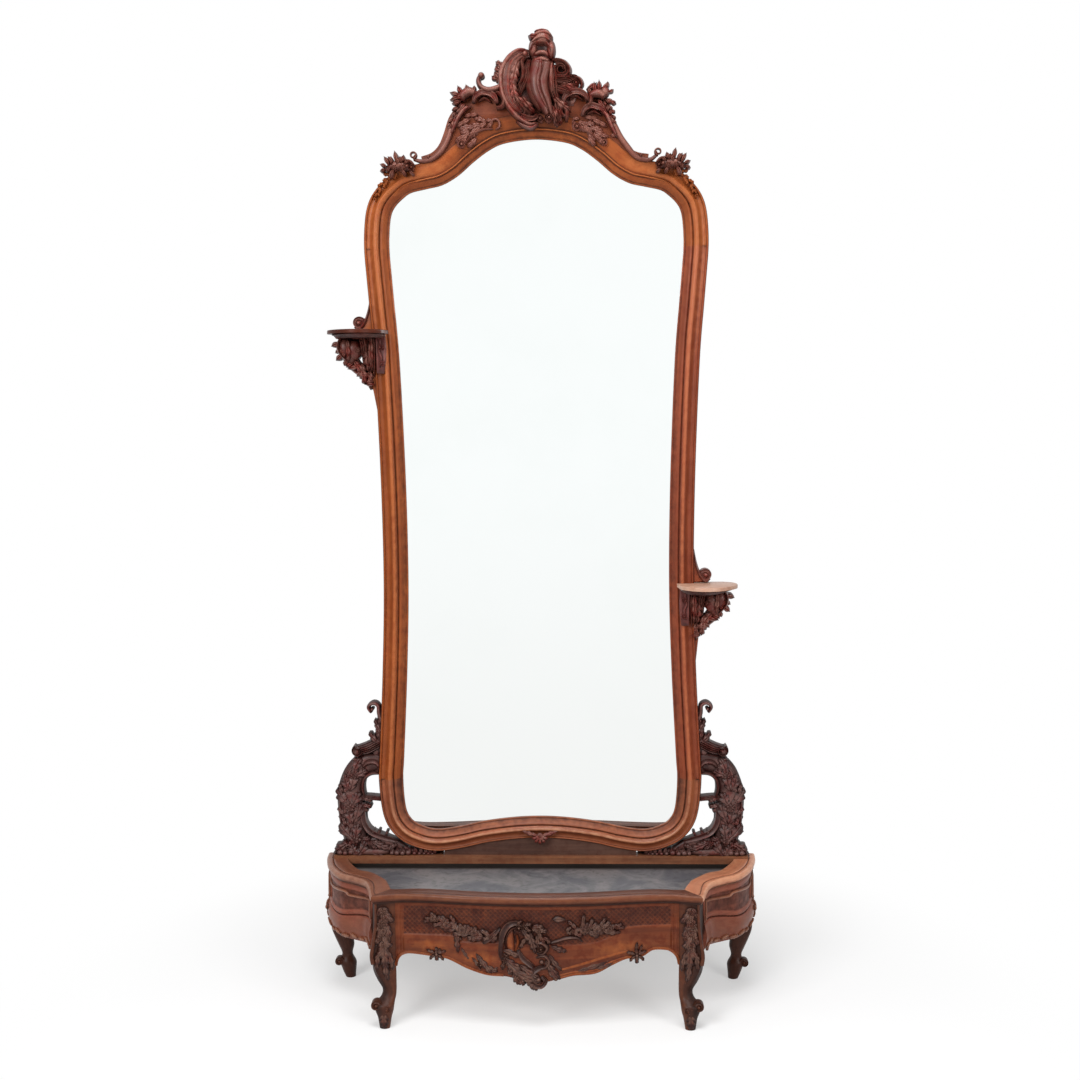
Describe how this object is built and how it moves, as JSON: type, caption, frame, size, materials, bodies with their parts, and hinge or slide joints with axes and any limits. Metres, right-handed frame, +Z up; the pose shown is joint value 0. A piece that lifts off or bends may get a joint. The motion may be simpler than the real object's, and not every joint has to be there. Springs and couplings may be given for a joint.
{
  "type": "pier mirror",
  "caption": "Tall shaped pier mirror in a moulded walnut frame with carved rococo crest, side shelves and scroll consoles, on a cabriole-legged stand with a lift-out zinc liner.",
  "frame": {"origin": "on the floor, in the middle of the width and of the depth", "axes": "+Z up, +X to the right as seen from the front, +Y towards the wall"},
  "size_m": [1.204, 0.4, 2.6],
  "materials": {
    "top_rail": "aged walnut, golden brown, wax polished",
    "left_stile": "aged walnut, golden brown, wax polished",
    "right_stile": "aged walnut, redder and darker, wax polished",
    "bottom_rail": "aged walnut, golden brown, wax polished",
    "mirror_glass": "silvered glass, slightly grey with age",
    "glass_blocks": "raw softwood",
    "backboards": "raw pine, darkened",
    "backboard_screws": "dull steel",
    "crest_board": "aged walnut, golden brown, wax polished",
    "crest_cartouche": "carved walnut, dark brown, worn on the high points",
    "crest_left_scroll": "carved walnut, dark brown, worn on the high points",
    "crest_right_scroll": "carved walnut, dark brown, worn on the high points",
    "crest_left_spray": "carved walnut, dark brown, worn on the high points",
    "crest_right_spray": "carved walnut, dark brown, worn on the high points",
    "left_shoulder_leaf": "carved walnut, dark brown, worn on the high points",
    "right_shoulder_leaf": "carved walnut, dark brown, worn on the high points",
    "left_shelf": "carved walnut, dark brown, worn on the high points",
    "left_shelf_bracket": "carved walnut, dark brown, worn on the high points",
    "left_shelf_volute": "carved walnut, dark brown, worn on the high points",
    "right_shelf": "aged walnut, golden brown, wax polished",
    "right_shelf_bracket": "carved walnut, dark brown, worn on the high points",
    "right_shelf_volute": "carved walnut, dark brown, worn on the high points",
    "left_console": "carved walnut, dark brown, worn on the high points",
    "right_console": "carved walnut, dark brown, worn on the high points",
    "bottom_rail_shell": "carved walnut, dark brown, worn on the high points",
    "filler_panel": "walnut in shade, dark",
    "plinth_rail": "aged walnut, golden brown, wax polished",
    "back_rim": "aged walnut, golden brown, wax polished",
    "front_rim": "aged walnut, golden brown, wax polished",
    "left_rim": "aged walnut, golden brown, wax polished",
    "right_rim": "aged walnut, golden brown, wax polished",
    "zinc_tray": "dull mottled zinc sheet",
    "tray_board": "raw pine",
    "tray_bearers": "raw pine",
    "apron_front": "aged walnut, golden brown, wax polished",
    "apron_left": "aged walnut, golden brown, wax polished",
    "apron_right": "aged walnut, golden brown, wax polished",
    "apron_back": "unpolished oak",
    "apron_cartouche": "carved walnut, dark brown, worn on the high points",
    "apron_left_garland": "carved walnut, dark brown, worn on the high points",
    "apron_right_garland": "carved walnut, dark brown, worn on the high points",
    "apron_edge_moulding": "aged walnut, golden brown, wax polished",
    "apron_leaf_drops": "carved walnut, dark brown, worn on the high points",
    "left_panel_moulding": "aged walnut, golden brown, wax polished",
    "right_panel_moulding": "aged walnut, golden brown, wax polished",
    "front_left_leg": "aged walnut, golden brown, wax polished",
    "front_right_leg": "aged walnut, golden brown, wax polished",
    "back_left_leg": "aged walnut, golden brown, wax polished",
    "back_right_leg": "aged walnut, golden brown, wax polished",
    "joining_straps": "dull iron",
    "strap_screws": "dull steel"
  },
  "bodies": {
    "stand_and_frame": {"top_rail": "top_rail", "left_stile": "left_stile", "right_stile": "right_stile", "bottom_rail": "bottom_rail", "mirror_glass": "mirror_glass", "glass_blocks": "glass_blocks", "backboards": "backboards", "backboard_screws": "backboard_screws", "crest_board": "crest_board", "crest_cartouche": "crest_cartouche", "crest_left_scroll": "crest_left_scroll", "crest_right_scroll": "crest_right_scroll", "crest_left_spray": "crest_left_spray", "crest_right_spray": "crest_right_spray", "left_shoulder_leaf": "left_shoulder_leaf", "right_shoulder_leaf": "right_shoulder_leaf", "left_shelf": "left_shelf", "left_shelf_bracket": "left_shelf_bracket", "left_shelf_volute": "left_shelf_volute", "right_shelf": "right_shelf", "right_shelf_bracket": "right_shelf_bracket", "right_shelf_volute": "right_shelf_volute", "left_console": "left_console", "right_console": "right_console", "bottom_rail_shell": "bottom_rail_shell", "filler_panel": "filler_panel", "plinth_rail": "plinth_rail", "back_rim": "back_rim", "front_rim": "front_rim", "left_rim": "left_rim", "right_rim": "right_rim", "tray_board": "tray_board", "tray_bearers": "tray_bearers", "apron_front": "apron_front", "apron_left": "apron_left", "apron_right": "apron_right", "apron_back": "apron_back", "apron_cartouche": "apron_cartouche", "apron_left_garland": "apron_left_garland", "apron_right_garland": "apron_right_garland", "apron_edge_moulding": "apron_edge_moulding", "apron_leaf_drops": "apron_leaf_drops", "left_panel_moulding": "left_panel_moulding", "right_panel_moulding": "right_panel_moulding", "front_left_leg": "front_left_leg", "front_right_leg": "front_right_leg", "back_left_leg": "back_left_leg", "back_right_leg": "back_right_leg", "joining_straps": "joining_straps", "strap_screws": "strap_screws"},
    "zinc_liner": {"zinc_tray": "zinc_tray"}
  },
  "joints": [
    {"name": "liner_lift", "type": "slide", "parent": "stand_and_frame", "child": "zinc_liner", "axis": [0, 0, 1], "range_m": [0, 0.036]}
  ]
}
